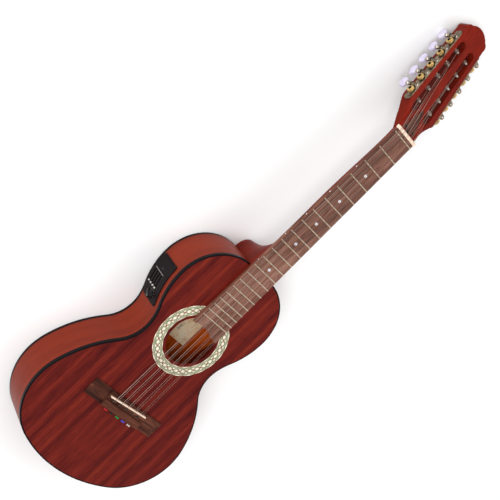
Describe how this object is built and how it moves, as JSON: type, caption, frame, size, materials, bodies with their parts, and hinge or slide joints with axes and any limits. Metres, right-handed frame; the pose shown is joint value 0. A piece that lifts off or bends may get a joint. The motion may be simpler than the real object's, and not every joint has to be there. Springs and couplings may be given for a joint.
{
  "type": "ten-string viola guitar",
  "caption": "Waisted flat-backed plucked instrument with a slotted headstock, paired steel strings, fretted neck, geared tuners, an inlaid rosette and a rim preamp.",
  "frame": {"origin": "on the flat back's outer face, on the centre line under the middle of the body", "axes": "+X to the treble side, +Y along the neck towards the headstock, +Z out of the soundboard"},
  "size_m": [0.3046, 0.9485, 0.088],
  "materials": {
    "mahogany": "high gloss figured mahogany",
    "side_wood": "high gloss orange-brown",
    "rosette_inlay": "pearl and coloured inlay under gloss",
    "black_binding": "gloss black",
    "inner_wood": "bare, sanded",
    "label_paper": "marbled paper",
    "neck_wood": "satin varnish",
    "rosewood": "dark, oiled",
    "face_veneer": "gloss red-brown veneer",
    "panel_plastic": "satin black",
    "white_plastic": "white",
    "fret_metal": "polished nickel silver",
    "pearl": "pearl",
    "string_metal": "plain and wound steel",
    "ball_colours": "coloured enamel",
    "bone": "polished bone",
    "nickel": "antique nickel",
    "chrome": "bright",
    "gear_brass": "brass",
    "button_pearl": "pearloid",
    "steel": "dark steel",
    "circuit": "green board",
    "battery_case": "plain dark case"
  },
  "bodies": {
    "instrument": {"back_plate": "side_wood", "ball_ends": "ball_colours", "battery": "battery_case", "bindings": "black_binding", "braces": "inner_wood", "bridge": "rosewood", "bridge_plate": "inner_wood", "end_jack": "chrome", "fingerboard": "rosewood", "frets": "fret_metal", "headplate": "face_veneer", "headstock_screws": "nickel", "inlay_dots": "pearl", "label": "label_paper", "linings": "inner_wood", "neck": "neck_wood", "neck_block": "inner_wood", "nut": "bone", "pickup_strip": "steel", "preamp_board": "circuit", "preamp_housing": "panel_plastic", "preamp_panel": "panel_plastic", "rosette": "rosette_inlay", "saddle": "bone", "side_bass": "side_wood", "side_treble": "side_wood", "soundboard": "mahogany", "strings": "string_metal", "tail_block": "inner_wood", "truss_rod": "steel", "truss_rod_cover": "rosewood", "tuner_plate_bass": "nickel", "tuner_plate_treble": "nickel"},
    "tuner_knob_1": {"tuner_knob_1": "button_pearl"},
    "tuner_roller_1": {"tuner_roller_1": "gear_brass"},
    "tuner_knob_2": {"tuner_knob_2": "button_pearl"},
    "tuner_roller_2": {"tuner_roller_2": "gear_brass"},
    "tuner_knob_3": {"tuner_knob_3": "button_pearl"},
    "tuner_roller_3": {"tuner_roller_3": "gear_brass"},
    "tuner_knob_4": {"tuner_knob_4": "button_pearl"},
    "tuner_roller_4": {"tuner_roller_4": "gear_brass"},
    "tuner_knob_5": {"tuner_knob_5": "button_pearl"},
    "tuner_roller_5": {"tuner_roller_5": "gear_brass"},
    "tuner_knob_10": {"tuner_knob_10": "button_pearl"},
    "tuner_roller_10": {"tuner_roller_10": "gear_brass"},
    "tuner_knob_9": {"tuner_knob_9": "button_pearl"},
    "tuner_roller_9": {"tuner_roller_9": "gear_brass"},
    "tuner_knob_8": {"tuner_knob_8": "button_pearl"},
    "tuner_roller_8": {"tuner_roller_8": "gear_brass"},
    "tuner_knob_7": {"tuner_knob_7": "button_pearl"},
    "tuner_roller_7": {"tuner_roller_7": "gear_brass"},
    "tuner_knob_6": {"tuner_knob_6": "button_pearl"},
    "tuner_roller_6": {"tuner_roller_6": "gear_brass"},
    "eq_slider_1": {"eq_slider_1": "white_plastic"},
    "eq_slider_2": {"eq_slider_2": "white_plastic"},
    "eq_slider_3": {"eq_slider_3": "white_plastic"},
    "eq_slider_4": {"eq_slider_4": "white_plastic"},
    "volume_knob": {"volume_knob": "panel_plastic"},
    "push_button": {"push_button": "panel_plastic"},
    "battery_door": {"battery_door": "panel_plastic"}
  },
  "joints": [
    {"name": "tuner_turn_1", "type": "hinge", "parent": "instrument", "child": "tuner_knob_1", "pos_m": [-0.03878, 0.58571, 0.06246], "axis": [0, -0.2554, -0.9668], "continuous": true},
    {"name": "roller_turn_1", "type": "hinge", "parent": "instrument", "child": "tuner_roller_1", "pos_m": [-0.03405, 0.57478, 0.05811], "axis": [-0.9987, 0.0493, -0.013], "continuous": true},
    {"name": "tuner_turn_2", "type": "hinge", "parent": "instrument", "child": "tuner_knob_2", "pos_m": [-0.0375, 0.60995, 0.05606], "axis": [0, -0.2554, -0.9668], "continuous": true},
    {"name": "roller_turn_2", "type": "hinge", "parent": "instrument", "child": "tuner_roller_2", "pos_m": [-0.03277, 0.59902, 0.0517], "axis": [-0.9987, 0.0493, -0.013], "continuous": true},
    {"name": "tuner_turn_3", "type": "hinge", "parent": "instrument", "child": "tuner_knob_3", "pos_m": [-0.03622, 0.63409, 0.04968], "axis": [0, -0.2554, -0.9668], "continuous": true},
    {"name": "roller_turn_3", "type": "hinge", "parent": "instrument", "child": "tuner_roller_3", "pos_m": [-0.0315, 0.62316, 0.04532], "axis": [-0.9987, 0.0493, -0.013], "continuous": true},
    {"name": "tuner_turn_4", "type": "hinge", "parent": "instrument", "child": "tuner_knob_4", "pos_m": [-0.03494, 0.65832, 0.04328], "axis": [0, -0.2554, -0.9668], "continuous": true},
    {"name": "roller_turn_4", "type": "hinge", "parent": "instrument", "child": "tuner_roller_4", "pos_m": [-0.03022, 0.64739, 0.03892], "axis": [-0.9987, 0.0493, -0.013], "continuous": true},
    {"name": "tuner_turn_5", "type": "hinge", "parent": "instrument", "child": "tuner_knob_5", "pos_m": [-0.03366, 0.68256, 0.03687], "axis": [0, -0.2554, -0.9668], "continuous": true},
    {"name": "roller_turn_5", "type": "hinge", "parent": "instrument", "child": "tuner_roller_5", "pos_m": [-0.02893, 0.67163, 0.03252], "axis": [-0.9987, 0.0493, -0.013], "continuous": true},
    {"name": "tuner_turn_10", "type": "hinge", "parent": "instrument", "child": "tuner_knob_10", "pos_m": [0.03366, 0.68256, 0.03687], "axis": [0, -0.2554, -0.9668], "continuous": true},
    {"name": "roller_turn_10", "type": "hinge", "parent": "instrument", "child": "tuner_roller_10", "pos_m": [0.02893, 0.67163, 0.03252], "axis": [0.9987, 0.0493, -0.013], "continuous": true},
    {"name": "tuner_turn_9", "type": "hinge", "parent": "instrument", "child": "tuner_knob_9", "pos_m": [0.03494, 0.65832, 0.04328], "axis": [0, -0.2554, -0.9668], "continuous": true},
    {"name": "roller_turn_9", "type": "hinge", "parent": "instrument", "child": "tuner_roller_9", "pos_m": [0.03022, 0.64739, 0.03892], "axis": [0.9987, 0.0493, -0.013], "continuous": true},
    {"name": "tuner_turn_8", "type": "hinge", "parent": "instrument", "child": "tuner_knob_8", "pos_m": [0.03622, 0.63409, 0.04968], "axis": [0, -0.2554, -0.9668], "continuous": true},
    {"name": "roller_turn_8", "type": "hinge", "parent": "instrument", "child": "tuner_roller_8", "pos_m": [0.0315, 0.62316, 0.04532], "axis": [0.9987, 0.0493, -0.013], "continuous": true},
    {"name": "tuner_turn_7", "type": "hinge", "parent": "instrument", "child": "tuner_knob_7", "pos_m": [0.0375, 0.60995, 0.05606], "axis": [0, -0.2554, -0.9668], "continuous": true},
    {"name": "roller_turn_7", "type": "hinge", "parent": "instrument", "child": "tuner_roller_7", "pos_m": [0.03277, 0.59902, 0.0517], "axis": [0.9987, 0.0493, -0.013], "continuous": true},
    {"name": "tuner_turn_6", "type": "hinge", "parent": "instrument", "child": "tuner_knob_6", "pos_m": [0.03878, 0.58571, 0.06246], "axis": [0, -0.2554, -0.9668], "continuous": true},
    {"name": "roller_turn_6", "type": "hinge", "parent": "instrument", "child": "tuner_roller_6", "pos_m": [0.03405, 0.57478, 0.05811], "axis": [0.9987, 0.0493, -0.013], "continuous": true},
    {"name": "eq_slide_1", "type": "slide", "parent": "instrument", "child": "eq_slider_1", "axis": [-0.3212, 0.947, 0], "range_m": [0, 0.019]},
    {"name": "eq_slide_2", "type": "slide", "parent": "instrument", "child": "eq_slider_2", "axis": [-0.3212, 0.947, 0], "range_m": [0, 0.019]},
    {"name": "eq_slide_3", "type": "slide", "parent": "instrument", "child": "eq_slider_3", "axis": [-0.3212, 0.947, 0], "range_m": [0, 0.019]},
    {"name": "eq_slide_4", "type": "slide", "parent": "instrument", "child": "eq_slider_4", "axis": [-0.3212, 0.947, 0], "range_m": [0, 0.019]},
    {"name": "volume_turn", "type": "hinge", "parent": "instrument", "child": "volume_knob", "pos_m": [-0.08771, 0.0796, 0.039], "axis": [-0.8706, -0.4919, 0], "range_deg": [-150, 150]},
    {"name": "button_press", "type": "slide", "parent": "instrument", "child": "push_button", "axis": [0.8743, 0.4854, 0], "range_m": [0, 0.0012], "stiffness_N_per_m": 300},
    {"name": "door_hinge", "type": "hinge", "parent": "instrument", "child": "battery_door", "pos_m": [-0.10458, 0.13496, 0.0355], "axis": [0, 0, -1], "range_deg": [0, 90]}
  ],
  "couplings": [
    {"joint": "roller_turn_1", "follows": "tuner_turn_1", "ratio": -0.071429},
    {"joint": "roller_turn_2", "follows": "tuner_turn_2", "ratio": -0.071429},
    {"joint": "roller_turn_3", "follows": "tuner_turn_3", "ratio": -0.071429},
    {"joint": "roller_turn_4", "follows": "tuner_turn_4", "ratio": -0.071429},
    {"joint": "roller_turn_5", "follows": "tuner_turn_5", "ratio": -0.071429},
    {"joint": "roller_turn_10", "follows": "tuner_turn_10", "ratio": 0.071429},
    {"joint": "roller_turn_9", "follows": "tuner_turn_9", "ratio": 0.071429},
    {"joint": "roller_turn_8", "follows": "tuner_turn_8", "ratio": 0.071429},
    {"joint": "roller_turn_7", "follows": "tuner_turn_7", "ratio": 0.071429},
    {"joint": "roller_turn_6", "follows": "tuner_turn_6", "ratio": 0.071429}
  ]
}
